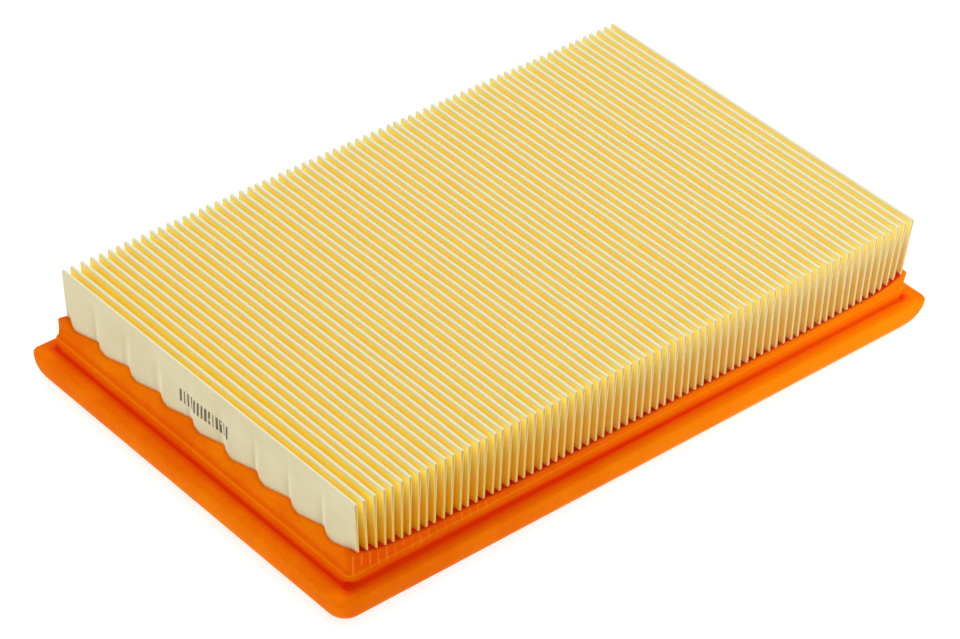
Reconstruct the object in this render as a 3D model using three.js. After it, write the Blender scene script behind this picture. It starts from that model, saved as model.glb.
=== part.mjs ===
// Rectangular panel air filter: a pleated paper pack moulded into a polyurethane seal frame.
// Millimetres, +Z up, +X along the long side. The origin is at the centre of the frame's
// underside. Air enters from above, passes through the pleats and leaves through the underside.

import * as THREE from "three";

// Seal frame, one casting of soft polyurethane.
const frameLength = 290;
const frameWidth = 184;
const frameCornerRadius = 7;
const lipHeight = 12.3; // sealing lip's top above the underside
const lipLandWidth = 1.2; // flat strip on top of the lip
const lipEdgeRadius = 1.4; // outer top edge of the lip
const outerWallBreak = 5.6; // height where the outer wall turns in towards the underside
const undersideInset = 3.9; // how far the underside's edge lies inside the lip
const flangeWidth = 5.4; // from the lip's outer edge in to the riser
const flangeDish = 0.9; // how far the flange dips between lip and riser
const riserHeight = 18.3; // top of the riser, where the ledge is
const ledgeWidth = 0.4;
const collarLow = 20.2; // collar top at the middle of a long side
const collarHigh = 25.6; // collar top along the short sides and at the corners
const collarRim = 1.0; // thickness of the collar's top edge
const collarCornerRadius = 2.4;
const endWallBase = 4.3; // thickness behind the riser on a short side
const supportWidth = 4.0; // how far the frame reaches under the pack
const supportHeight = 2.5;

// Filter paper, one strip folded into pleats that run across the width.
const packTop = 48.5; // fold tips above the underside
const paperThickness = 0.45;
const rootPitch = 3.75; // pleat spacing where the pack sits in the frame
const fanPerFold = 0.08; // how much more the folds are spaced at the tips, where the pack fans out
const foldInside = 1.0; // space between the two walls of a fold at its flat tip
const valleyInside = 1.0; // space between neighbouring folds at a valley's flat bottom

// Adhesive strand along each edge of the strip, which closes the ends of the folds.
const glueThickness = 0.3; // at the roots, where the folds are pressed together
const glueWidth = 3.0;
const pinchLength = 7.5; // how far in from the edge a fold opens to its full width

// Clearance between pieces that touch.
const gap = 0.3;

// Places that follow from the sizes above.
const packWidth = frameWidth - 2 * (flangeWidth + ledgeWidth + collarRim + gap);
const glueFoot = supportHeight + gap;
const packBottom = glueFoot + glueThickness + gap;
const rootHalfWidth = (rootPitch - valleyInside) / 2;
const tipHalfWidth = foldInside / 2 + paperThickness;
const pocketLength = frameLength - 2 * (flangeWidth + ledgeWidth + endWallBase + gap);
const foldCount = Math.floor((pocketLength - 2 * rootHalfWidth) / rootPitch) + 1;
const pinchedHalfWidth = glueThickness / 2 + gap + paperThickness;

// The middle of a fold at a height. The pack fans out, so the spacing grows towards the tips.
function foldX(fold, z) {
  const rise = (z - packBottom) / (packTop - packBottom);
  return (fold - (foldCount - 1) / 2) * (rootPitch + fanPerFold * rise);
}

// Half length of the pack's outer face at a height.
function packHalfLength(z) {
  const rise = (z - packBottom) / (packTop - packBottom);
  return foldX(foldCount - 1, z) + rootHalfWidth + (tipHalfWidth - rootHalfWidth) * rise;
}

function material(color, roughness) {
  return new THREE.MeshStandardMaterial({ color, roughness, metalness: 0 });
}

const paperMaterial = material(0xe6d9a0, 0.9);
const polyurethaneMaterial = material(0xec6a0c, 0.5);
const adhesiveMaterial = material(0xe9e2c4, 0.45);

// Joins rings of equally many points into one closed skin. The rings go round the section,
// and the last one joins the first. Seen from above, each ring runs anticlockwise.
function skinOfRings(rings) {
  const positions = rings.flat().flatMap((p) => [p.x, p.y, p.z]);
  const count = rings[0].length;
  const indices = [];
  for (let r = 0; r < rings.length; r++) {
    const here = r * count;
    const next = ((r + 1) % rings.length) * count;
    for (let i = 0; i < count; i++) {
      const j = (i + 1) % count;
      indices.push(here + i, here + j, next + j);
      indices.push(here + i, next + j, next + i);
    }
  }
  const geometry = new THREE.BufferGeometry();
  geometry.setAttribute("position", new THREE.Float32BufferAttribute(positions, 3));
  geometry.setIndex(indices);
  geometry.computeVertexNormals();
  return geometry;
}

// One ring of the frame: a rectangle with rounded corners. Its height may vary along it.
const cornerSteps = 6;
const longSideSteps = 14;
const shortSideSteps = 4;

function roundedRing(halfLength, halfWidth, radius, height) {
  const corners = [
    [1, 1, 0],
    [-1, 1, 1],
    [-1, -1, 2],
    [1, -1, 3],
  ];
  const points = [];
  corners.forEach(([sx, sy, quarter], index) => {
    const cx = sx * (halfLength - radius);
    const cy = sy * (halfWidth - radius);
    for (let k = 0; k <= cornerSteps; k++) {
      const angle = (Math.PI / 2) * (quarter + k / cornerSteps);
      points.push(new THREE.Vector3(cx + radius * Math.cos(angle), cy + radius * Math.sin(angle), 0));
    }
    const [nx, ny] = corners[(index + 1) % 4];
    const alongLength = ny === sy;
    const steps = alongLength ? longSideSteps : shortSideSteps;
    const from = points[points.length - 1].clone();
    const to = alongLength
      ? new THREE.Vector3(nx * (halfLength - radius), from.y, 0)
      : new THREE.Vector3(from.x, ny * (halfWidth - radius), 0);
    for (let k = 1; k < steps; k++) {
      points.push(from.clone().lerp(to, k / steps));
    }
  });
  for (const point of points) {
    point.z = typeof height === "function" ? height(point.x / halfLength) : height;
  }
  return points;
}

// The collar's top edge: high at the ends, and sagging along each long side.
function collarTop(alongLength) {
  const rise = Math.abs(alongLength) ** 4;
  return collarLow + (collarHigh - collarLow) * rise;
}

function sealFrame() {
  // Insets are measured in from the lip's outer edge.
  const outerRing = (inset, z) =>
    roundedRing(
      frameLength / 2 - inset,
      frameWidth / 2 - inset,
      Math.max(frameCornerRadius - inset, collarCornerRadius),
      z,
    );
  const packRing = (offset, radius, z, zForLength) =>
    roundedRing(packHalfLength(zForLength) + offset, packWidth / 2 + offset, radius, z);
  const lipInner = lipEdgeRadius + lipLandWidth;
  const dishInset = (lipInner + flangeWidth) / 2;
  const edgeFacet = lipEdgeRadius * (1 - Math.SQRT1_2);
  const rings = [
    outerRing(undersideInset, 0),
    outerRing(0.4 * undersideInset, outerWallBreak / 2),
    outerRing(0, outerWallBreak),
    outerRing(0, lipHeight - lipEdgeRadius),
    outerRing(edgeFacet, lipHeight - edgeFacet),
    outerRing(lipEdgeRadius, lipHeight),
    outerRing(lipInner, lipHeight),
    outerRing(dishInset, lipHeight - flangeDish),
    outerRing(flangeWidth - flangeDish / 2, lipHeight - flangeDish),
    outerRing(flangeWidth, lipHeight - flangeDish / 2),
    outerRing(flangeWidth, riserHeight),
    outerRing(flangeWidth + ledgeWidth, riserHeight),
    packRing(gap + collarRim, collarCornerRadius, collarTop, collarHigh),
    packRing(gap, gap, collarTop, collarHigh),
    packRing(gap, gap, supportHeight, supportHeight),
    packRing(-supportWidth, gap, supportHeight, packBottom),
    packRing(-supportWidth, gap, 0, packBottom),
  ];
  return skinOfRings(rings);
}

// Outline of the folded strip in the XZ plane at one place across the width. rootHalf is half
// the outside width of a fold at its root: wide inside the pack, pinched at the strip's edges.
function stripOutline(rootHalf) {
  const upper = [];
  const lower = [];
  const rootInside = rootHalf - paperThickness;
  const ceiling = packTop - paperThickness;
  for (let i = 0; i < foldCount; i++) {
    const floorBefore = i === 0 ? packBottom : packBottom + paperThickness;
    const floorAfter = i === foldCount - 1 ? packBottom : packBottom + paperThickness;
    upper.push([foldX(i, floorBefore) - rootHalf, floorBefore]);
    upper.push([foldX(i, packTop) - tipHalfWidth, packTop]);
    upper.push([foldX(i, packTop) + tipHalfWidth, packTop]);
    upper.push([foldX(i, floorAfter) + rootHalf, floorAfter]);
    lower.push([foldX(i, packBottom) - rootInside, packBottom]);
    lower.push([foldX(i, ceiling) - foldInside / 2, ceiling]);
    lower.push([foldX(i, ceiling) + foldInside / 2, ceiling]);
    lower.push([foldX(i, packBottom) + rootInside, packBottom]);
  }
  return [...upper, ...lower.reverse()];
}

// Joins outlines of equally many points, one at each place along Y, and closes both ends.
// Seen along +Y, each outline runs clockwise.
function loftAlongY(outlines, places) {
  const count = outlines[0].length;
  const positions = [];
  const indices = [];
  outlines.forEach((outline, s) => {
    for (const [x, z] of outline) {
      positions.push(x, places[s], z);
    }
  });
  for (let s = 0; s + 1 < places.length; s++) {
    for (let i = 0; i < count; i++) {
      const j = (i + 1) % count;
      const here = s * count;
      const next = here + count;
      indices.push(here + i, here + j, next + j);
      indices.push(here + i, next + j, next + i);
    }
  }
  const contour = outlines[0].map(([x, z]) => new THREE.Vector2(x, z));
  const last = (places.length - 1) * count;
  for (const [a, b, c] of THREE.ShapeUtils.triangulateShape(contour, [])) {
    indices.push(a, b, c);
    indices.push(last + a, last + c, last + b);
  }
  const geometry = new THREE.BufferGeometry();
  geometry.setAttribute("position", new THREE.Float32BufferAttribute(positions, 3));
  geometry.setIndex(indices);
  geometry.computeVertexNormals();
  return geometry;
}

function pleatedPaper() {
  const edge = packWidth / 2;
  const places = [-edge, pinchLength - edge, edge - pinchLength, edge];
  const halves = [pinchedHalfWidth, rootHalfWidth, rootHalfWidth, pinchedHalfWidth];
  return loftAlongY(halves.map(stripOutline), places);
}

// The adhesive strand follows the strip: a blade inside every fold, joined under the valleys.
function edgeGlueSeam(outerFaceY, direction) {
  const rootHalf = glueThickness / 2;
  const topHalf = foldInside / 2 - gap;
  const bladeTop = packTop - paperThickness - gap;
  const strandTop = glueFoot + glueThickness;
  const lastFold = foldCount - 1;
  const outline = [];
  for (let i = 0; i < foldCount; i++) {
    if (i > 0) {
      outline.push([foldX(i, strandTop) - rootHalf, strandTop]);
    }
    outline.push([foldX(i, bladeTop) - topHalf, bladeTop]);
    outline.push([foldX(i, bladeTop) + topHalf, bladeTop]);
    if (i < lastFold) {
      outline.push([foldX(i, strandTop) + rootHalf, strandTop]);
    }
  }
  outline.push([foldX(lastFold, glueFoot) + rootHalf, glueFoot]);
  outline.push([foldX(0, glueFoot) - rootHalf, glueFoot]);
  const places = [outerFaceY, outerFaceY + direction * glueWidth].sort((a, b) => a - b);
  return loftAlongY([outline, outline], places);
}

function piece(name, geometry, surface) {
  const mesh = new THREE.Mesh(geometry, surface);
  mesh.name = name;
  return mesh;
}

const filter = new THREE.Group();
filter.name = "panel_air_filter";
filter.add(piece("seal_frame", sealFrame(), polyurethaneMaterial));
filter.add(piece("pleated_paper", pleatedPaper(), paperMaterial));
filter.add(piece("edge_glue_seam_front", edgeGlueSeam(-packWidth / 2, 1), adhesiveMaterial));
filter.add(piece("edge_glue_seam_rear", edgeGlueSeam(packWidth / 2, -1), adhesiveMaterial));

export default filter;
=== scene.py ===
import math

import bmesh
import bpy
from mathutils import Matrix, Vector, noise


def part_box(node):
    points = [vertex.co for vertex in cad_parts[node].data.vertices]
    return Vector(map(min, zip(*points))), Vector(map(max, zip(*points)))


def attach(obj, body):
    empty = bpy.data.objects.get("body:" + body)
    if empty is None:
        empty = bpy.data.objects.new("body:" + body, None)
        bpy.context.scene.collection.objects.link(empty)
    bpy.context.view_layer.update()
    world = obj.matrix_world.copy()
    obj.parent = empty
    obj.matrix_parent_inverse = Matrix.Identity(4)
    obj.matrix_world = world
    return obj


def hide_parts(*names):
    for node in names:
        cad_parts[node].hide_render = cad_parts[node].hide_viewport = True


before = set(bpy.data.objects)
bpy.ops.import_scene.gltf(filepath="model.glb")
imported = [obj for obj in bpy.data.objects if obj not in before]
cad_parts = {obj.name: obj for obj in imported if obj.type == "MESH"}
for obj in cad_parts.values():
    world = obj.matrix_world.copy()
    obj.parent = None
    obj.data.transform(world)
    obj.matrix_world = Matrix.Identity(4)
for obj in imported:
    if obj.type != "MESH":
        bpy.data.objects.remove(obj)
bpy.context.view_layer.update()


# --- Seal frame: one casting of soft orange polyurethane ---------------------------------
# The paper pack stands in an open mould, liquid polyurethane is poured round its foot and
# foams up into a collar, a riser with a ledge, a flange and a sealing lip, all one skin.
MM = 0.001
_, frame_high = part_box("seal_frame")
lip_half_x, lip_half_y = frame_high[0], frame_high[1]
lip_top = 12.3 * MM
ledge_height = 18.3 * MM
flange_long_side = 5.4 * MM
flange_short_side = 7.2 * MM

# The pack's outline where it stands in the casting.
pack_low, pack_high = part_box("pleated_paper")
pack_half_width = pack_high[1]
pack_foot = pack_low[2]
pack_top = pack_high[2]
pack_left_foot = -132.3 * MM
pack_right_foot = 134.8 * MM
pack_middle = (pack_left_foot + pack_right_foot) / 2
pack_half_length = (pack_right_foot - pack_left_foot) / 2

fold_count = 72
fold_first_x = -131.35 * MM
fold_last_x = 138.0 * MM
fold_spacing = (fold_last_x - fold_first_x) / (fold_count - 1)

# Nine ribs are pressed into the paper across its width, and the collar follows them.
rib_spacing = 18.85 * MM
rib_first = -69.8 * MM
rib_depth_ends = 1.5 * MM
rib_step = 0.86
notch_lag = 0.17
notch_rise = 0.68

# The collar's top edge is lowest along the long sides and rises towards their ends. Rises are
# in millimetres above the ledge; a reach is how far along the side a rise dies away.
collar_sag = 1.15
left_post_rise, left_post_reach = 4.2, 9 * MM
left_slope_rise, left_slope_reach = 2.6, 48 * MM
right_post_rise, right_post_reach = 4.4, 10 * MM
left_corner_post, right_corner_post = 7.9, 5.6
corner_post_width = 4.5 * MM
end_rim, end_notch_depth = 5.3, 2.9

CORNER_STEPS = 12
LONG_STEPS = 150
SHORT_STEPS = 132


def smooth(low, high, value):
    """Rises smoothly from 0 at low to 1 at high."""
    t = min(max((value - low) / (high - low), 0.0), 1.0)
    return t * t * (3 - 2 * t)


def rib_push(y):
    """How far a rib pushes the paper out at y, from 0 to 1: a slow fall, then a quick step."""
    past = ((rib_first - y) / rib_spacing) % 1.0
    fall = 1.0 - 0.8 * min(past / rib_step, 1.0) ** 1.3
    return fall + smooth(rib_step, 1.0, past) * (1.0 - fall)


def notch(y):
    """The rim of the collar at y, from 0 in the notch behind a rib to 1 just before the next rib."""
    past = ((rib_first - y) / rib_spacing - notch_lag) % 1.0
    if past < notch_rise:
        return (past / notch_rise) ** 0.9
    return 1.0 - smooth(notch_rise, 1.0, past)


def rounded_loop(half_x, half_y, radius, shift_x=0.0):
    """Points round a rectangle with rounded corners, anticlockwise from above."""
    loop = []
    corners = ((1, 1), (-1, 1), (-1, -1), (1, -1))
    for quarter, (sx, sy) in enumerate(corners):
        cx, cy = sx * (half_x - radius), sy * (half_y - radius)
        for step in range(CORNER_STEPS + 1):
            turn = math.pi / 2 * (quarter + step / CORNER_STEPS)
            loop.append(Vector((cx + radius * math.cos(turn), cy + radius * math.sin(turn), 0)))
        nx, ny = corners[(quarter + 1) % 4]
        along_x = ny == sy
        steps = LONG_STEPS if along_x else SHORT_STEPS
        start = loop[-1].copy()
        end = start.copy()
        if along_x:
            end.x = nx * (half_x - radius)
        else:
            end.y = ny * (half_y - radius)
        loop += [start.lerp(end, step / steps) for step in range(1, steps)]
    for point in loop:
        point.x += shift_x
    return loop


def collar_height(x, y):
    """Height of the collar's top edge: it sags along the long sides and is notched at the ribs."""
    from_left, from_right = max(x - pack_left_foot, 0.0), max(pack_right_foot - x, 0.0)
    left_rise = left_post_rise * math.exp(-from_left / left_post_reach)
    left_rise += left_slope_rise * math.exp(-from_left / left_slope_reach)
    right_rise = right_post_rise * math.exp(-from_right / right_post_reach)
    sag = (collar_sag + left_rise + right_rise) * MM
    from_side = max(pack_half_width - abs(y), 0.0)
    post = (left_corner_post if x < 0 else right_corner_post) * MM
    end_height = (end_rim + end_notch_depth * notch(y)) * MM
    end_height += (post - end_height) * math.exp(-((from_side / corner_post_width) ** 2))
    on_end = smooth(2.5 * MM, 0.0, min(from_left, from_right))
    swell = 0.25 * MM * noise.noise(Vector((x * 55, y * 55, 3.1)))
    return ledge_height + sag + (end_height - sag) * on_end + swell


def bend(centre_inset, centre_z, radius, start, end, steps):
    """Points of an arc in the casting's section. At 0 degrees it faces out, at 90 up."""
    points = []
    for step in range(steps + 1):
        turn = math.radians(start + (end - start) * step / steps)
        points.append((centre_inset - radius * math.cos(turn), centre_z + radius * math.sin(turn)))
    return points


def casting_loops():
    """The loops of the casting's skin, from the underside's edge up, over and back inside."""
    # The section outside the collar, in millimetres: inset from the lip's edge, and height.
    section = bend(4.5, 0.6, 0.6, -90, -15, 4)
    section += [(3.2, 1.1), (2.3, 2.1), (1.5, 3.2), (0.85, 4.4), (0.42, 5.5)]
    section += [(0.16, 6.7), (0.03, 8.2), (0.0, 9.8)]
    section += bend(0.95, 11.35, 0.95, 0, 82, 6)
    section += [(1.6, 12.29), (2.3, 12.22), (3.1, 12.18), (3.9, 12.24), (4.5, 12.36)]
    section += [(4.9, 12.55), (5.15, 12.8), (5.32, 13.2), (5.38, 13.8), (5.4, 15.0), (5.4, 16.6)]
    section += bend(5.65, 18.05, 0.25, 0, 90, 4)
    section += [(5.85, 18.3)]
    loops = []
    for inset, z in section:
        groove = smooth(1.5, 5.0, inset) * smooth(18.0, 13.5, z)
        ledge = smooth(4.5, 5.4, inset) * smooth(13.5, 18.0, z)
        sharper = 3.4 * smooth(3.0, 11.5, z) * (1 - ledge) * (1 - groove)
        radius = 6.8 - sharper - 1.0 * groove - 4.4 * ledge
        extra = (flange_short_side - flange_long_side) * smooth(0, 5.4, inset) * smooth(6.0, 12.0, z)
        taper = 0.8 * MM * smooth(11.0, 1.5, z) * smooth(6.0, 5.0, inset)
        loop = rounded_loop(
            lip_half_x - inset * MM - extra - taper, lip_half_y - inset * MM, radius * MM, -taper
        )
        for point in loop:
            point.z = z * MM
        loops.append(loop)

    # The collar leans in from the ledge to the paper, and its thin edge follows the ribs.
    # At the pack's corners it stands upright, as a post.
    foot = rounded_loop(
        lip_half_x - flange_short_side - 0.5 * MM, lip_half_y - flange_long_side - 0.5 * MM, 2.0 * MM
    )
    heights = (0.03, 0.09, 0.18, 0.3, 0.44, 0.58, 0.72, 0.84, 0.93)
    rim = [(0.95, lift, 0.0) for lift in heights]
    rim += [(0.9, 0.98, 0.0), (0.7, 1.0, 0.0), (0.45, 1.0, 0.0), (0.1, 0.995, 0.0), (-0.4, 0.98, 1.0)]
    for offset, lift, sunk in rim:
        edge = rounded_loop(
            pack_half_length + offset * MM, pack_half_width + offset * MM, 1.3 * MM, pack_middle
        )
        loop = []
        for low_point, rim_point in zip(foot, edge):
            away = math.copysign(1.0, rim_point.x - pack_middle)
            from_side = pack_half_width - abs(rim_point.y)
            on_end = smooth(3 * MM, 0.5 * MM, pack_half_length - abs(rim_point.x - pack_middle))
            upright = smooth(6 * MM, 1 * MM, from_side) * (1.0 - sunk)
            post = (2.6 if away < 0 else 1.0) * MM * upright * (1 if offset > 0.3 else 0.4)
            push = rib_depth_ends * rib_push(rim_point.y) * smooth(1 * MM, 6 * MM, from_side)
            lean = (0.9 if away < 0 else 1.4) * MM * lift * smooth(-0.5, 0.9, offset)
            rim_x = rim_point.x + on_end * away * (push + lean + post)
            top = collar_height(rim_point.x, rim_point.y)
            sweep = 1.0 - (1.0 - min(lift / 0.93, 1.0)) ** 2.4
            x = low_point.x + (rim_x - low_point.x) * sweep
            y = low_point.y + (rim_point.y - low_point.y) * sweep
            z = ledge_height + (top - ledge_height) * lift
            loop.append(Vector((x, y, z)))
        loops.append(loop)

    # Inside of the pocket, then the land that carries the pack, and back along the underside.
    inside = [(0.3, 8.0), (0.4, 2.6), (4.0, 2.5), (4.35, 2.3)]
    inside += [(4.5, 1.9), (4.5, 0.5), (4.75, 0.1), (5.3, 0.0)]
    for inset, z in inside:
        loop = rounded_loop(
            pack_half_length - inset * MM, pack_half_width - inset * MM, 1.0 * MM, pack_middle
        )
        for point in loop:
            point.z = z * MM
        loops.append(loop)
    return loops


def skin_mesh(name, loops):
    """Joins equal loops into one closed skin; the last loop joins the first."""
    count = len(loops[0])
    points = [point for loop in loops for point in loop]
    faces = []
    for here in range(len(loops)):
        there = (here + 1) % len(loops)
        for i in range(count):
            j = (i + 1) % count
            faces.append((here * count + i, here * count + j, there * count + j, there * count + i))
    mesh = bpy.data.meshes.new(name)
    mesh.from_pydata(points, [], faces)
    mesh.polygons.foreach_set("use_smooth", [True] * len(faces))
    mesh.update()
    return mesh


casting = bpy.data.objects.new("seal_casting", skin_mesh("seal_casting", casting_loops()))
bpy.context.scene.collection.objects.link(casting)


class Term:
    """A socket of a node tree. Arithmetic on it adds the Math nodes."""

    def __init__(self, wires, socket):
        self.wires = wires
        self.socket = socket

    def math(self, operation, *values):
        return self.wires.math(operation, self, *values)

    def __add__(self, other):
        return self.wires.math("ADD", self, other)

    def __radd__(self, other):
        return self.wires.math("ADD", other, self)

    def __sub__(self, other):
        return self.wires.math("SUBTRACT", self, other)

    def __rsub__(self, other):
        return self.wires.math("SUBTRACT", other, self)

    def __mul__(self, other):
        return self.wires.math("MULTIPLY", self, other)

    def __rmul__(self, other):
        return self.wires.math("MULTIPLY", other, self)

    def __truediv__(self, other):
        return self.wires.math("DIVIDE", self, other)

    def __pow__(self, other):
        return self.wires.math("POWER", self, other)

    def __gt__(self, other):
        return self.wires.math("GREATER_THAN", self, other)

    def __lt__(self, other):
        return self.wires.math("LESS_THAN", self, other)

    def between(self, low, high):
        """0 below low, 1 above high, and a smooth rise from one to the other."""
        settings = {"interpolation_type": "SMOOTHSTEP"}
        made = self.wires.node("ShaderNodeMapRange", settings, {0: self, 1: low, 2: high, 3: 0.0, 4: 1.0})
        return Term(self.wires, made.outputs[0])

    def held(self, low=0.0, high=1.0):
        """The value, held between two limits."""
        return self.math("MAXIMUM", low).math("MINIMUM", high)


class Wires:
    """A node tree while it is being wired up."""

    def __init__(self, tree):
        self.tree = tree

    def node(self, kind, settings=None, inputs=None):
        """Adds one node: its settings first, then the values or links of its sockets."""
        made = self.tree.nodes.new(kind)
        for name, value in (settings or {}).items():
            if name == "stops":
                ramp = made.color_ramp
                while len(ramp.elements) < len(value):
                    ramp.elements.new(1.0)
                for element, (place, colour) in zip(ramp.elements, value):
                    element.position = place
                    element.color = (*colour, 1.0)
            else:
                setattr(made, name, value)
        for name, value in (inputs or {}).items():
            socket = made.inputs[name]
            if isinstance(value, Term):
                self.tree.links.new(value.socket, socket)
            elif isinstance(value, bpy.types.NodeSocket):
                self.tree.links.new(value, socket)
            else:
                socket.default_value = value
        return made

    def math(self, operation, *values):
        made = self.node("ShaderNodeMath", {"operation": operation}, dict(enumerate(values)))
        return Term(self, made.outputs[0])

    def vector(self, x, y, z):
        return self.node("ShaderNodeCombineXYZ", None, {0: x, 1: y, 2: z}).outputs[0]

    def here(self):
        """The place of every point of a geometry."""
        return self.node("GeometryNodeInputPosition").outputs[0]

    def moved(self, geometry, x, y, z):
        """The geometry with its points put at x, y and z."""
        sockets = {"Geometry": geometry, "Position": self.vector(x, y, z)}
        return self.node("GeometryNodeSetPosition", None, sockets).outputs[0]

    def joined(self, parts):
        made = self.node("GeometryNodeJoinGeometry")
        for part in parts:
            self.tree.links.new(part, made.inputs[0])
        return made.outputs[0]

    def bump(self, strength, distance, height, under=None):
        """A bumpy normal, laid over another one if it is given."""
        sockets = {"Strength": strength, "Distance": distance, "Height": height}
        if under:
            sockets["Normal"] = under
        return self.node("ShaderNodeBump", None, sockets).outputs[0]

    def parts(self, socket):
        """The three parts of a vector."""
        made = self.node("ShaderNodeSeparateXYZ", None, {0: socket})
        return [Term(self, part) for part in made.outputs]

    def noise(self, vector, scale, detail=2.0):
        made = self.node("ShaderNodeTexNoise", None, {"Vector": vector, "Scale": scale, "Detail": detail})
        return Term(self, made.outputs[0])

    def mix(self, factor, first, second):
        """Mixes two colours."""
        made = self.node("ShaderNodeMix", {"data_type": "RGBA"}, {0: factor, 6: first, 7: second})
        return made.outputs[2]


def new_material(name):
    """An empty material with its Principled shader."""
    made = bpy.data.materials.new(name)
    made.use_nodes = True
    wires = Wires(made.node_tree)
    shader = made.node_tree.nodes["Principled BSDF"]
    return made, wires, shader


def polyurethane_material():
    """Foamed polyurethane with a cast skin: strong orange, satin, faintly mottled and pitted.

    Painted shade deepens it to red in the groove, on the riser and on the collar, a painted highlight
    lightens the ledge's edge, a painted floor reflection makes its foot paler, and painted light
    brightens the long side towards the right."""
    made, wires, shader = new_material("orange_polyurethane")
    coordinates = wires.node("ShaderNodeTexCoord").outputs["Object"]
    x, y, z = wires.parts(coordinates)
    wider_flange = flange_short_side - flange_long_side
    inset_x = lip_half_x - x.math("ABSOLUTE") - wider_flange
    inset_y = lip_half_y - y.math("ABSOLUTE")
    inset = inset_x.math("SMOOTH_MIN", inset_y, 4 * MM)
    clouds = wires.noise(coordinates, 45.0, 3.0)
    mottled = wires.mix(clouds.between(0.32, 0.7), (0.90, 0.165, 0.0005, 1), (0.96, 0.225, 0.0008, 1))
    grain = wires.noise(coordinates, 620.0, 3.0).between(0.45, 0.7)
    mottled = wires.mix(grain * 0.3, mottled, (0.80, 0.11, 0.0004, 1))
    on_short_side = (inset_y - inset_x).between(-5 * MM, 5 * MM)
    towards_right = x.between(-130 * MM, 130 * MM)
    # Painted light: the long side grows brighter towards the right, where more light falls.
    mottled = wires.mix((1 - on_short_side) * towards_right * 0.7, mottled, (0.97, 0.27, 0.001, 1))

    # Painted shade round the groove at the riser's foot, on the riser, in the crease above the ledge and
    # on the long side's collar wall, weaker where more light falls.
    groove_inset, groove_height, groove_reach = 5.3 * MM, 12.9 * MM, 3.6 * MM
    away = (inset - groove_inset) ** 2.0 + (z - groove_height) ** 2.0
    groove = 1 - away.math("SQRT").between(0.1 * MM, groove_reach)
    groove = groove * (0.95 - on_short_side * 0.3 - (1 - on_short_side) * towards_right * 0.45)
    on_riser = inset.between(4.6 * MM, 5.2 * MM) * (1 - z.between(17.4 * MM, 18.2 * MM))
    on_collar = inset.between(5.7 * MM, 6.0 * MM)
    crease = on_collar * (1 - z.between(18.5 * MM, 20.8 * MM)) * on_short_side
    on_wall = on_collar * (1 - on_short_side) * (1 - towards_right * 0.6)
    # deep: how strongly the painted shade turns the orange to red.
    deep = (groove + on_riser * 0.3 + crease * 0.45 + on_wall * 0.5).held(0.0, 1.0)
    skin = wires.mix(deep, mottled, (0.82, 0.026, 0.0005, 1))
    # Painted highlight along the ledge's convex edge.
    edge = (1 - (z - 18.2 * MM).math("ABSOLUTE").between(0.1 * MM, 0.55 * MM)) * 0.5
    skin = wires.mix(edge * inset.between(5.0 * MM, 5.3 * MM), skin, (0.97, 0.23, 0.001, 1))
    # Painted shade: the long side darkens towards its left end, away from the light.
    skin = wires.mix((1 - on_short_side) * (1 - towards_right) * 0.3, skin, (0.45, 0.05, 0.0, 1))
    # Painted reflection of the white floor: the casting's outer foot is paler, more so on the short side
    # and where more light falls.
    painted_floor_reflection = (1 - z.between(3.4 * MM, 5.2 * MM)) * (1 - inset.between(4.5 * MM, 6.0 * MM))
    painted_floor_reflection = painted_floor_reflection * (on_short_side * 0.6 + (1 - on_short_side) * (0.1 + towards_right * 0.8))
    skin = wires.mix(painted_floor_reflection, skin, (0.95, 0.36, 0.09, 1))

    # The glued pleat ends lie just under the thin collar, and show as paler streaks.
    streak = ((x - fold_first_x) / fold_spacing).math("FRACT")
    streak = (streak - 0.5).math("ABSOLUTE").between(0.34, 0.5)
    on_side = (1 - inset_y.between(6.3 * MM, 6.8 * MM)) * inset.between(5.0 * MM, 5.6 * MM)
    near_end = 1 - x.between(-118 * MM, -40 * MM) * 0.75
    ghost = streak * on_side * z.between(15 * MM, 19 * MM) * near_end
    ghost = ghost * wires.noise(coordinates, 190.0).between(0.25, 0.6) * 0.5
    skin = wires.mix(ghost, skin, (0.97, 0.33, 0.03, 1))
    wires.tree.links.new(skin, shader.inputs["Base Color"])

    shader.inputs["Roughness"].default_value = 0.45
    shader.inputs["Specular IOR Level"].default_value = 0.03
    shader.inputs["IOR"].default_value = 1.2
    grain = wires.noise(coordinates, 900.0, 3.0)
    fine = wires.bump(0.12, 0.2 * MM, grain)
    pits = wires.noise(coordinates, 150.0, 3.0)
    wires.tree.links.new(wires.bump(0.3, 0.5 * MM, pits, fine), shader.inputs["Normal"])
    return made


casting.data.materials.append(polyurethane_material())
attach(casting, "root")
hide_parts("seal_frame")


# --- Pleated paper: one strip of resin-treated filter paper, folded across its width ------
# Every fold has a flat tip. Its two walls are pinched and glued together at both edges of
# the strip, and pressed ribs keep the folds apart. The pack fans out above the collar.
paper_thickness = 0.45 * MM
fold_height = pack_top - pack_foot - paper_thickness - 0.15 * MM
FOLD_STEPS = 14
ACROSS_STEPS = 90
FOLDS_PER_RUN = 18


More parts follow.
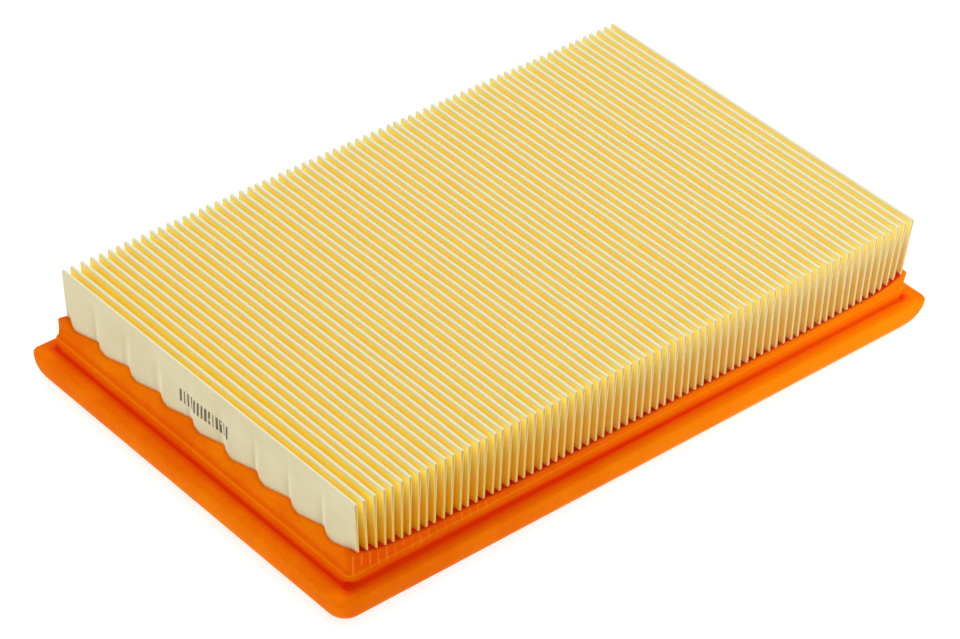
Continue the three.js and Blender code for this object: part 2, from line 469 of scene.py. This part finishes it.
def fold_middle(wires, fold, rise, across):
    """X of a fold's middle plane: its place in the row, its lean and its own small waves."""
    last = fold_count - 1
    left_lean, left_lean_folds = -2.6 * MM, 4.6
    right_lean, right_lean_folds = 4.0 * MM, 5.5
    lean_start = 0.42
    spread = wires.node("ShaderNodeTexWhiteNoise", {"noise_dimensions": "1D"}, {"W": fold + 3.0})
    uneven = (Term(wires, spread.outputs[0]) - 0.5) * (0.5 * MM)
    above = ((rise - lean_start) / (1 - lean_start)).held()
    left = (fold * -1.0 / left_lean_folds).math("EXPONENT") * left_lean
    right = ((fold - last) / right_lean_folds).math("EXPONENT") * right_lean
    wave = wires.noise(wires.vector(fold * 7.7, across * 14.0, rise * 0.6), 1.0, 1.0) - 0.5
    ripple = wires.noise(wires.vector(fold * 3.1 + 40, across * 60.0, rise * 3.0), 1.0, 1.0) - 0.5
    place = fold_first_x + fold * fold_spacing + uneven
    inner = 1 - (fold < 0.5) * 0.8 - (fold > last - 0.5) * 0.8
    waves = (wave * (0.9 * MM) * rise + ripple * (0.4 * MM)) * inner
    return place + left * above - right * (1 - above) + waves


def edge_pinch(across):
    """1 at the strip's two edges and 0 where the folds are fully open."""
    return 1 - (pack_half_width - across.math("ABSOLUTE")).between(0.2 * MM, 7.5 * MM)


def seam_top(wires, fold, across):
    """How far up a fold its walls are pressed together at one edge of the strip, from 0 to 1."""
    uneven = wires.noise(wires.vector(fold * 5.3, across.math("SIGN") * 3.0, 0.0), 1.0, 0.0)
    return 0.62 + (uneven - 0.5) * 0.5


def wall_distance(rise, pinch, seam):
    """How far a wall's middle is from its fold's middle plane, and how far the pinch draws it in."""
    root_half, tip_half, seam_half = 1.15 * MM, 0.52 * MM, 0.245 * MM
    fully_open = 0.97
    open_wall = root_half + (tip_half - root_half) * rise
    closing = ((rise - seam) / (fully_open - seam)).held()
    pinched = seam_half + (tip_half - seam_half) * closing
    return open_wall + (pinched - open_wall) * pinch, (open_wall - pinched) * pinch


def geometry_tree(name, sizes):
    """A geometry node tree with named inputs. Returns its wires, inputs and modifier values."""
    tree = bpy.data.node_groups.new(name, "GeometryNodeTree")
    tree.interface.new_socket("Geometry", in_out="OUTPUT", socket_type="NodeSocketGeometry")
    values = {}
    for label, value in sizes.items():
        kind = "NodeSocketInt" if isinstance(value, int) else "NodeSocketFloat"
        socket = tree.interface.new_socket(label, in_out="INPUT", socket_type=kind)
        values[socket.identifier] = value
    wires = Wires(tree)
    group = wires.node("NodeGroupInput")
    inputs = {label: Term(wires, group.outputs[label]) for label in sizes}
    return wires, inputs, values


def keep(wires, geometry, label, value, kind="FLOAT"):
    """Stores a named attribute on the points."""
    made = wires.node(
        "GeometryNodeStoreNamedAttribute",
        {"data_type": kind, "domain": "POINT"},
        {"Geometry": geometry, "Name": label, "Value": value},
    )
    return made.outputs[0]


def kept(wires, label, kind="FLOAT"):
    """Reads a named attribute."""
    return wires.node("GeometryNodeInputNamedAttribute", {"data_type": kind}, {"Name": label}).outputs[0]


def grown(name, wires, geometry, material, values):
    """Ends a tree, runs it once and keeps its result as a plain mesh object."""
    same_point = 0.0001 * MM
    real = wires.node("GeometryNodeRealizeInstances", None, {0: geometry}).outputs[0]
    if material:
        sockets = {"Geometry": real, "Material": material}
        real = wires.node("GeometryNodeSetMaterial", None, sockets).outputs[0]
    wires.node("NodeGroupOutput", None, {0: real})
    seedling = bpy.data.objects.new(name, bpy.data.meshes.new(name))
    bpy.context.scene.collection.objects.link(seedling)
    modifier = seedling.modifiers.new(name, "NODES")
    modifier.node_group = wires.tree
    for identifier, value in values.items():
        modifier[identifier] = value
    evaluated = seedling.evaluated_get(bpy.context.evaluated_depsgraph_get())
    mesh = bpy.data.meshes.new_from_object(evaluated)
    mesh.name = name
    if mesh.materials and not mesh.materials[0]:
        mesh.materials.pop(index=0)
    seedling.modifiers.remove(modifier)
    seedling.data = mesh
    work = bmesh.new()
    work.from_mesh(mesh)
    bmesh.ops.remove_doubles(work, verts=work.verts, dist=same_point)
    bmesh.ops.recalc_face_normals(work, faces=work.faces)
    work.to_mesh(mesh)
    work.free()
    return seedling


def pleat_run(number, dirty_side, clean_side, cut_edge):
    """One run of folds, with its own thickness and closed all round."""
    sizes = {
        "First Fold": float(number * FOLDS_PER_RUN),
        "Folds": float(FOLDS_PER_RUN),
        "Columns": FOLDS_PER_RUN * 2 * FOLD_STEPS + 1,
        "Rows": ACROSS_STEPS + 1,
        "Width": 2 * pack_half_width,
        "Height": fold_height,
        "Foot": pack_foot + paper_thickness / 2,
        "Corner Radius": 0.32 * MM,
        "Rib Spacing": rib_spacing,
        "First Rib": rib_first,
        "Rib Depth": 0.3 * MM,
        "End Rib Depth": rib_depth_ends,
        "Thickness": paper_thickness,
    }
    wires, given, values = geometry_tree(f"pleat_run_{number + 1}", sizes)
    counts = {0: given["Folds"], 1: 2.0, 2: given["Columns"], 3: given["Rows"]}
    grid = wires.node("GeometryNodeMeshGrid", None, counts)
    flat_x, flat_y, _ = wires.parts(wires.here())
    along = flat_x + given["Folds"] / 2 + given["First Fold"]
    fold = (along + 0.0001).math("FLOOR").math("MINIMUM", given["First Fold"] + given["Folds"] - 1)
    phase = along - fold
    side = (phase - 0.5).math("SIGN")
    step = (1 - (phase * 2 - 1).math("ABSOLUTE")) * FOLD_STEPS

    # Rows lie closer together at the ribs and at the strip's edges.
    even = flat_y * (1.2 - flat_y ** 2.0 * 0.2) * given["Width"] / 2
    turn = (even - given["First Rib"]) / given["Rib Spacing"] * math.tau - 0.5
    inside = 1 - flat_y.math("ABSOLUTE").between(0.84, 0.95)
    crowding = 0.55
    across = even - turn.math("SINE") * given["Rib Spacing"] * (crowding / math.tau) * inside

    # One fold's section, in steps: half a valley, a rounded corner, the wall, a corner, half a tip.
    # Each half valley and half tip is one step, and each corner is two.
    radius = given["Corner Radius"]
    valley_turn = ((step - 1) / 2).held() * (math.pi / 2)
    rise_in_wall = ((step - 3) / (FOLD_STEPS - 6)).held() ** 0.8
    tip_turn = ((step - (FOLD_STEPS - 3)) / 2).held() * (math.pi / 2)
    climb = given["Height"] - radius * 2
    height = radius * (1 - valley_turn.math("COSINE"))
    height = height + climb * rise_in_wall + radius * tip_turn.math("SINE")
    rise = height / given["Height"]
    pinch = edge_pinch(across)
    wall, drawn_in = wall_distance(rise, pinch, seam_top(wires, fold, across))
    half_valley = (1 - step).held() * (fold_spacing / 2 - 1.2 * MM - radius)
    corner_in = radius * (1 - valley_turn.math("SINE"))
    corner_out = radius * (1 - tip_turn.math("COSINE"))
    half_tip = (step - (FOLD_STEPS - 1)).held() * (wall - radius)
    distance = wall + corner_in + half_valley - corner_out - half_tip

    # The outer walls of the pack stay flat at its corners: there only the inner wall is drawn in.
    first, last = fold < 0.5, fold > fold_count - 1.5
    shift = drawn_in * (last - first)

    past = ((given["First Rib"] - across) / given["Rib Spacing"]).math("FRACT")
    fall = 1 - (past / rib_step).held() ** 1.3 * 0.8
    rib = fall + past.between(rib_step, 1.0) * (1 - fall)
    at_end = (along < 0.5) + (along > fold_count - 0.5)
    depth = given["Rib Depth"] + (given["End Rib Depth"] - given["Rib Depth"]) * at_end
    unpinched = 1 - (pack_half_width - across.math("ABSOLUTE")).between(6 * MM, 1 * MM)
    fading = 1 - rise.between(0.50, 0.95)
    pushed = rib * depth * fading * unpinched
    # Painted highlight on each rib's step and painted shade just before it, for the pack's first and last
    # walls.
    lit = past.between(rib_step - 0.04, rib_step + 0.03) * (1 - past.between(0.93, 1.0))
    shaded = past.between(0.66, rib_step - 0.08)
    shaded = shaded * (1 - past.between(rib_step - 0.06, rib_step - 0.02))

    x = fold_middle(wires, fold, rise, across) + shift + side * (distance + pushed)
    tip_uneven = wires.noise(wires.vector(fold * 9.1, across * 9.0, 5.0), 1.0, 1.0) - 0.5
    z = given["Foot"] + height + tip_uneven * (0.45 * MM) * rise - 0.1 * MM * rise
    sheet = keep(wires, grid.outputs[0], "depth", (1 - rise) * (1 - at_end))
    sheet = keep(wires, sheet, "rib", rib * unpinched)
    sheet = keep(wires, sheet, "outer", at_end)
    sheet = keep(wires, sheet, "floor", step < 0.5)
    sheet = keep(wires, sheet, "stripe", (lit - shaded * 0.5) * fading * unpinched * at_end)
    sheet = wires.moved(sheet, x, across, z)
    sheet = keep(wires, sheet, "place", wires.here(), "FLOAT_VECTOR")
    normal_x, normal_y, normal_z = wires.parts(wires.node("GeometryNodeInputNormal").outputs[0])

    # A valley's floor faces straight up, so that both sides of the sheet stay apart there.
    floor = Term(wires, kept(wires, "floor"))
    walls = 1 - floor
    facing = wires.vector(normal_x * walls, normal_y * walls, normal_z * walls + floor)
    sheet = keep(wires, sheet, "facing", facing, "FLOAT_VECTOR")

    # Thickness: the sheet is moved to both sides of itself, and its border is closed.
    def beside(geometry, part, chosen=None):
        away = given["Thickness"] * part
        placed = wires.node(
            "ShaderNodeVectorMath",
            {"operation": "MULTIPLY_ADD"},
            {
                0: kept(wires, "facing", "FLOAT_VECTOR"),
                1: wires.vector(away, away, away),
                2: kept(wires, "place", "FLOAT_VECTOR"),
            },
        )
        sockets = {"Geometry": geometry, "Position": placed.outputs[0]}
        if chosen:
            sockets["Selection"] = chosen
        return wires.node("GeometryNodeSetPosition", None, sockets).outputs[0]

    def faced(geometry, material, chosen=None):
        sockets = {"Geometry": geometry, "Material": material}
        if chosen:
            sockets["Selection"] = chosen
        return wires.node("GeometryNodeSetMaterial", None, sockets).outputs[0]

    upper = faced(beside(sheet, 0.5), dirty_side)
    lower = faced(beside(sheet, -0.5), clean_side)
    lower = wires.node("GeometryNodeFlipFaces", None, {0: lower}).outputs[0]
    neighbours = wires.node("GeometryNodeInputMeshEdgeNeighbors").outputs[0]
    equal = {"data_type": "INT", "operation": "EQUAL"}
    border = wires.node("FunctionNodeCompare", equal, {2: neighbours, 3: 1})
    rim = wires.node(
        "GeometryNodeExtrudeMesh",
        {"mode": "EDGES"},
        {"Mesh": lower, "Selection": border.outputs[0], "Offset Scale": 0.0},
    )
    closed = faced(beside(rim.outputs[0], 0.5, rim.outputs["Top"]), cut_edge, rim.outputs["Side"])
    sockets = {"Geometry": wires.joined((upper, closed)), "Distance": 0.002 * MM}
    merged = wires.node("GeometryNodeMergeByDistance", None, sockets)
    return grown(f"pleated_paper_{number + 1}", wires, merged.outputs[0], None, values)


def paper_base(name, roughness=0.85):
    """Matte paper with fine fibres. Returns the material, its wires, shader, place and fibre noise."""
    made, wires, shader = new_material(name)
    coordinates = wires.node("ShaderNodeTexCoord").outputs["Object"]
    stretched = wires.node("ShaderNodeMapping", None, {"Vector": coordinates, "Scale": (1.0, 0.35, 1.0)})
    fibres = wires.noise(stretched.outputs[0], 2600.0, 4.0)
    shader.inputs["Roughness"].default_value = roughness
    shader.inputs["Specular IOR Level"].default_value = 0.15
    wires.tree.links.new(wires.bump(0.3, 0.1 * MM, fibres), shader.inputs["Normal"])
    return made, wires, shader, coordinates, fibres


def rightwards(x):
    """0 at the pack's first wall and 1 at its last, where more light falls: it paints that light as a
    paler colour towards the last.
    """
    return x.between(-120 * MM, 120 * MM)


def painted(wires, label):
    """Reads a named attribute in a material."""
    made = wires.node("ShaderNodeAttribute", {"attribute_name": label})
    return Term(wires, made.outputs["Fac"])


def dirty_side_material():
    """Cream paper; painted shade and inter-reflected light turn it a strong warm yellow deeper between
    the folds, and orange near the casting.

    The first wall carries an inked tally: a row of plain bars of uneven width."""
    made, wires, shader, coordinates, fibres = paper_base("paper_dirty_side")
    x, y, z = wires.parts(coordinates)
    depth = painted(wires, "depth")
    rib = painted(wires, "rib")
    outer = painted(wires, "outer")
    stripe = painted(wires, "stripe")
    clouds = wires.noise(coordinates, 60.0, 3.0)
    # Painted shade and inter-reflected light by depth: cream at the tips, then yellow, orange and red
    # deeper between the folds.
    stops = (
        (0.0, (0.77, 0.74, 0.57)),
        (0.07, (0.82, 0.77, 0.46)),
        (0.15, (0.89, 0.79, 0.31)),
        (0.24, (0.94, 0.78, 0.17)),
        (0.42, (0.96, 0.71, 0.08)),
        (0.70, (0.90, 0.48, 0.02)),
        (0.9, (0.80, 0.22, 0.006)),
    )
    shade = wires.node("ShaderNodeValToRGB", {"stops": stops}, {0: depth.held() ** 0.5}).outputs[0]
    # Painted inter-reflected light: more saturated yellow at the ribs near the tips, where the walls
    # stand closer.
    shade = wires.mix(rib * depth.between(0.01, 0.06) * 0.4, shade, (0.90, 0.62, 0.05, 1))

    # Towards the cut edges the painted valley shade gives way to a paler ramp, and painted light makes it
    # paler still on the side away from the first wall.
    end_top = wires.mix(rightwards(x), (0.84, 0.64, 0.12, 1), (0.87, 0.76, 0.38, 1))
    end_low = wires.mix(rightwards(x), (0.90, 0.48, 0.0, 1), (0.90, 0.63, 0.17, 1))
    end_shade = wires.mix(depth.between(0.12, 0.5), end_top, end_low)
    by_edge = y.math("ABSOLUTE").between(pack_half_width - 16 * MM, pack_half_width - 3 * MM)
    by_edge = by_edge * depth.between(0.03, 0.16)
    shade = wires.mix(by_edge * (0.85 - depth.between(0.5, 0.9) * 0.6), shade, end_shade)
    panel = wires.mix(clouds.between(0.3, 0.7), (0.74, 0.68, 0.42, 1), (0.78, 0.73, 0.48, 1))
    # Painted highlight on each rib's step and painted shade just before it.
    panel = wires.mix(stripe.held(), panel, (0.90, 0.87, 0.70, 1))
    panel = wires.mix((stripe * -1).held(), panel, (0.52, 0.43, 0.23, 1))
    shade = wires.mix(outer, shade, panel)

    # A faint glow stands in for light that comes through the thin paper near the tips.
    glow = depth.between(0.0, 0.03) * (1 - depth.between(0.08, 0.35) * 0.8) * (1 - by_edge * 0.35)
    glow = wires.mix(glow, (0, 0, 0, 1), (0.15, 0.11, 0.005, 1))
    wires.tree.links.new(glow, shader.inputs["Emission Color"])
    shader.inputs["Emission Strength"].default_value = 1.0
    speck = wires.mix(fibres.between(0.62, 0.8) * 0.12, shade, (0.55, 0.42, 0.2, 1))

    tally_half_width, tally_half_height, tally_height = 14.4 * MM, 2.9 * MM, 34.2 * MM
    bar_spacing, thinnest_bar, bar_variety = 2.1 * MM, 0.26, 0.45
    cell = (y + 14.5 * MM) / bar_spacing
    dice = wires.node("ShaderNodeTexWhiteNoise", {"noise_dimensions": "1D"}, {"W": cell.math("FLOOR")})
    width = thinnest_bar + Term(wires, dice.outputs[0]) * bar_variety
    bar = (cell.math("FRACT") - 0.5).math("ABSOLUTE") < width * 0.5
    bar = bar * (y.math("ABSOLUTE") < tally_half_width)
    on_first_wall = (x < -131 * MM) * outer
    tall = ((z - tally_height).math("ABSOLUTE") < tally_half_height) * on_first_wall
    worn = wires.noise(coordinates, 700.0, 3.0).between(0.26, 0.38)
    inked = wires.mix(bar * tall * worn * 0.85, speck, (0.05, 0.045, 0.04, 1))
    wires.tree.links.new(inked, shader.inputs["Base Color"])
    return made


def clean_side_material():
    """The strip's other side: the same cream, seen from below and inside the folds, with painted shade
    that turns it amber above the foot.
    """
    made, wires, shader, coordinates, _ = paper_base("paper_clean_side")
    _, _, z = wires.parts(coordinates)
    # Painted shade: cream near the foot, amber higher up inside the folds.
    warm = z.between(pack_foot + 0.5 * MM, pack_foot + 9 * MM)
    shade = wires.mix(warm, (0.84, 0.79, 0.60, 1), (0.90, 0.62, 0.16, 1))
    wires.tree.links.new(shade, shader.inputs["Base Color"])
    return made


def cut_edge_material():
    """The strip's cut edges: pale where the light falls on them, warmer low down."""
    made, wires, shader, coordinates, _ = paper_base("paper_cut_edge", 0.7)
    x, _, z = wires.parts(coordinates)
    pale = wires.mix(rightwards(x), (0.66, 0.53, 0.22, 1), (0.74, 0.69, 0.50, 1))
    low = wires.mix(rightwards(x), (0.72, 0.50, 0.13, 1), (0.74, 0.60, 0.30, 1))
    shade = wires.mix(1 - z.between(24 * MM, 44 * MM), pale, low)
    wires.tree.links.new(shade, shader.inputs["Base Color"])
    return made


dirty_side, clean_side, cut_edge = dirty_side_material(), clean_side_material(), cut_edge_material()
for number in range(fold_count // FOLDS_PER_RUN):
    run = pleat_run(number, dirty_side, clean_side, cut_edge)
    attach(run, "root")
    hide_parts("pleated_paper")


# --- Edge beads: adhesive that closes the ends of the folds -----------------------------------
# A strand of hot adhesive is laid along each edge of the strip before it is folded. Pressed
# between the walls it becomes one thin blade in every fold, with a strand below the valleys.
bead_recess = 0.1 * MM
bead_width = 3.2 * MM


def block(wires, counts):
    """A cube from -1 to 1, with the given numbers of points along its edges."""
    sockets = {0: (2.0, 2.0, 2.0), 1: counts[0], 2: counts[1], 3: counts[2]}
    return wires.node("GeometryNodeMeshCube", None, sockets).outputs[0]


def one_per_fold(wires, geometry, count):
    """Repeats a block along the folds. Its points keep their own place and their fold's number."""
    own = keep(wires, geometry, "own", wires.here(), "FLOAT_VECTOR")
    row = wires.node("GeometryNodePoints", None, {0: count}).outputs[0]
    row = keep(wires, row, "fold", wires.node("GeometryNodeInputIndex").outputs[0])
    sockets = {"Points": row, "Instance": own}
    spread = wires.node("GeometryNodeInstanceOnPoints", None, sockets).outputs[0]
    real = wires.node("GeometryNodeRealizeInstances", None, {0: spread}).outputs[0]
    return real, Term(wires, kept(wires, "fold")), wires.parts(kept(wires, "own", "FLOAT_VECTOR"))


def adhesive_material():
    """Hot-melt adhesive: translucent cream, smooth and slightly glossy."""
    made, wires, shader = new_material("edge_adhesive")
    coordinates = wires.node("ShaderNodeTexCoord").outputs["Object"]
    x, _, z = wires.parts(coordinates)
    clouds = wires.noise(coordinates, 250.0, 2.0)
    # Painted light makes the adhesive darker amber towards the first wall and paler towards the last; low
    # down it is more orange.
    upper = wires.mix(rightwards(x), (0.60, 0.42, 0.07, 1), (0.74, 0.66, 0.38, 1))
    upper = wires.mix(clouds * 0.4, upper, (0.84, 0.76, 0.48, 1))
    shade = wires.mix(1 - z.between(18 * MM, 40 * MM), upper, (0.88, 0.52, 0.08, 1))
    wires.tree.links.new(shade, shader.inputs["Base Color"])
    shader.inputs["Roughness"].default_value = 0.4
    shader.inputs["Specular IOR Level"].default_value = 0.3
    wires.tree.links.new(wires.bump(0.2, 0.3 * MM, clouds), shader.inputs["Normal"])
    return made


def edge_bead(name, towards, material):
    """The blades and the strand along one edge of the strip."""
    sizes = {
        "Folds": fold_count,
        "Recess": bead_recess,
        "Width": bead_width,
        "Foot": pack_foot + 0.6 * MM,
        "Top": pack_top - 0.6 * MM,
    }
    wires, given, values = geometry_tree(name, sizes)
    blade = block(wires, (2, 3, 14))
    blades, fold, (own_x, own_y, own_z) = one_per_fold(wires, blade, given["Folds"])
    z = given["Foot"] + (given["Top"] - given["Foot"]) * (own_z * 0.5 + 0.5)
    rise = (z - pack_foot) / fold_height
    deeper = rise.between(0.6, 1.0) * 0.15 * MM
    inward = own_y * 0.5 + 0.5
    across = towards * (pack_half_width - given["Recess"] - deeper - given["Width"] * inward)
    wall, drawn_in = wall_distance(rise, edge_pinch(across), seam_top(wires, fold, across))
    half = wall - paper_thickness * 0.42
    shift = drawn_in * ((fold > fold_count - 1.5) - (fold < 0.5))
    x = fold_middle(wires, fold, rise, across) + shift + own_x * half
    blades = wires.moved(blades, x, across, z)

    strand = keep(wires, block(wires, (73, 4, 3)), "own", wires.here(), "FLOAT_VECTOR")
    own_x, own_y, own_z = wires.parts(kept(wires, "own", "FLOAT_VECTOR"))
    strand_recess, strand_half_height = 1.0 * MM, 0.42 * MM
    x = pack_middle + own_x * (pack_half_length - 1 * MM)
    y = towards * (pack_half_width - strand_recess - given["Width"] * 0.9 * (own_y * 0.5 + 0.5))
    z = pack_foot - 0.25 * MM + own_z * strand_half_height
    strand = wires.moved(strand, x, y, z)
    return grown(name, wires, wires.joined((blades, strand)), material, values)


adhesive = adhesive_material()
for name, towards in (("front", -1.0), ("rear", 1.0)):
    bead = edge_bead(f"edge_bead_{name}", towards, adhesive)
    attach(bead, "root")
    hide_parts(f"edge_glue_seam_{name}")


# --- Foam webs: polyurethane that rose between the pleat ends ----------------------------------
# The foaming casting creeps a few millimetres into every gap between two folds, just inside
# the collar's long sides, and climbs their walls a little. It is one with the casting.
web_reach = 6.5 * MM


def web_material():
    """The casting's polyurethane where hardly any light reaches it: a deep red-orange."""
    made, wires, shader = new_material("shaded_polyurethane")
    coordinates = wires.node("ShaderNodeTexCoord").outputs["Object"]
    clouds = wires.noise(coordinates, 120.0, 2.0)
    shade = wires.mix(clouds.between(0.3, 0.7), (0.68, 0.014, 0.003, 1), (0.82, 0.045, 0.002, 1))
    wires.tree.links.new(shade, shader.inputs["Base Color"])
    shader.inputs["Roughness"].default_value = 0.5
    shader.inputs["Specular IOR Level"].default_value = 0.1
    wires.tree.links.new(wires.bump(0.3, 0.4 * MM, clouds), shader.inputs["Normal"])
    return made


def foam_webs(name, towards, material):
    """One row of webs, each between two folds, along one long side."""
    sizes = {"Gaps": fold_count - 1, "Reach": web_reach, "Foot": 15.0 * MM, "Climb": 3.2 * MM}
    wires, given, values = geometry_tree(name, sizes)
    web = block(wires, (9, 8, 2))
    webs, fold, (own_x, own_y, own_z) = one_per_fold(wires, web, given["Gaps"])
    inward = own_y * 0.5 + 0.5
    across = towards * (pack_half_width + 0.3 * MM - given["Reach"] * inward)
    rough_x = fold_first_x + (fold + 0.5) * fold_spacing
    from_left = (rough_x - pack_left_foot).math("MAXIMUM", 0.0)
    from_right = (pack_right_foot - rough_x).math("MAXIMUM", 0.0)
    rim = collar_sag * MM + (from_left / -left_post_reach).math("EXPONENT") * (left_post_rise * MM)
    rim = rim + (from_left / -left_slope_reach).math("EXPONENT") * (left_slope_rise * MM)
    rim = rim + (from_right / -right_post_reach).math("EXPONENT") * (right_post_rise * MM)
    rim = rim + ledge_height
    uneven = wires.noise(wires.vector(fold * 2.7, towards * 4.0, 1.0), 1.0, 0.0) - 0.5
    hugging = own_x.math("ABSOLUTE") ** 4.0
    climbing = hugging * given["Climb"] * (0.6 + uneven) * (0.25 + inward)
    top = rim - 0.2 * MM - inward ** 2.0 * (1.4 * MM) + climbing
    z = given["Foot"] + (top - given["Foot"]) * (own_z * 0.5 + 0.5)
    rise = (z - pack_foot) / fold_height
    pinch = edge_pinch(across)
    left_wall, _ = wall_distance(rise, pinch, seam_top(wires, fold, across))
    right_wall, _ = wall_distance(rise, pinch, seam_top(wires, fold + 1, across))
    left = fold_middle(wires, fold, rise, across) + left_wall
    right = fold_middle(wires, fold + 1, rise, across) - right_wall
    x = left + (right - left) * (own_x * 0.5 + 0.5)
    webs = wires.moved(webs, x, across, z)
    return grown(name, wires, webs, material, values)


shaded_polyurethane = web_material()
for name, towards in (("front", -1.0), ("rear", 1.0)):
    webs = foam_webs(f"foam_webs_{name}", towards, shaded_polyurethane)
    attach(webs, "root")


# --- Floor, light and camera ---------------------------------------------------------------
# A wide white floor under soft studio light, and a long lens looking down on one corner.
floor_mesh = bpy.data.meshes.new("floor")
reach = 6.0
floor_corners = [(-reach, -reach, 0), (reach, -reach, 0), (reach, reach, 0), (-reach, reach, 0)]
floor_mesh.from_pydata(floor_corners, [], [(0, 1, 2, 3)])
floor = bpy.data.objects.new("floor", floor_mesh)
bpy.context.scene.collection.objects.link(floor)
floor_material, _, floor_shader = new_material("white_floor")
floor_shader.inputs["Base Color"].default_value = (0.38, 0.38, 0.38, 1)
floor_shader.inputs["Emission Color"].default_value = (1, 1, 1, 1)
floor_shader.inputs["Emission Strength"].default_value = 0.76
floor_shader.inputs["Roughness"].default_value = 0.9
floor_mesh.materials.append(floor_material)

world = bpy.data.worlds.new("studio")
world.use_nodes = True
world.node_tree.nodes["Background"].inputs["Color"].default_value = (1, 1, 1, 1)
world.node_tree.nodes["Background"].inputs["Strength"].default_value = 0.7
bpy.context.scene.world = world
bpy.context.scene.view_settings.view_transform = "Standard"

for name, place, aim, size, watts in (
    ("overhead_softbox", (0.1, 0.4, 1.4), (0, 0, 0), 1.4, 8),
    ("side_softbox", (0.6, -0.45, 0.4), (0.1, -0.05, 0), 0.4, 1.8),
):
    data = bpy.data.lights.new(name, "AREA")
    data.size = size
    data.energy = watts
    lamp = bpy.data.objects.new(name, data)
    lamp.location = place
    lamp.rotation_euler = (Vector(aim) - Vector(place)).to_track_quat("-Z", "Y").to_euler()
    bpy.context.scene.collection.objects.link(lamp)


def look_from(azimuth, elevation, roll, distance, slide_right, slide_up, target):
    """The camera's place: round the target, rolled, and slid sideways so the target is off centre."""
    a, e, r = (math.radians(angle) for angle in (azimuth, elevation, roll))
    back = Vector((math.sin(a) * math.cos(e), -math.cos(a) * math.cos(e), math.sin(e)))
    level = Vector((0, 0, 1)).cross(back).normalized()
    upright = back.cross(level)
    right = math.cos(r) * level + math.sin(r) * upright
    up = math.cos(r) * upright - math.sin(r) * level
    turned = Matrix((right, up, back)).transposed().to_4x4()
    turned.translation = target + back * distance - right * slide_right - up * slide_up
    return turned


camera_data = bpy.data.cameras.new("camera")
camera_data.sensor_width = 36.0
camera_data.lens = 149.2
camera = bpy.data.objects.new("camera", camera_data)
camera.matrix_world = look_from(
    azimuth=-42.34,
    elevation=37.37,
    roll=2.83,
    distance=1.5028,
    slide_right=2.39 * MM,
    slide_up=-1.27 * MM,
    target=Vector((0, 0, lip_top)),
)
bpy.context.scene.collection.objects.link(camera)
bpy.context.scene.camera = camera
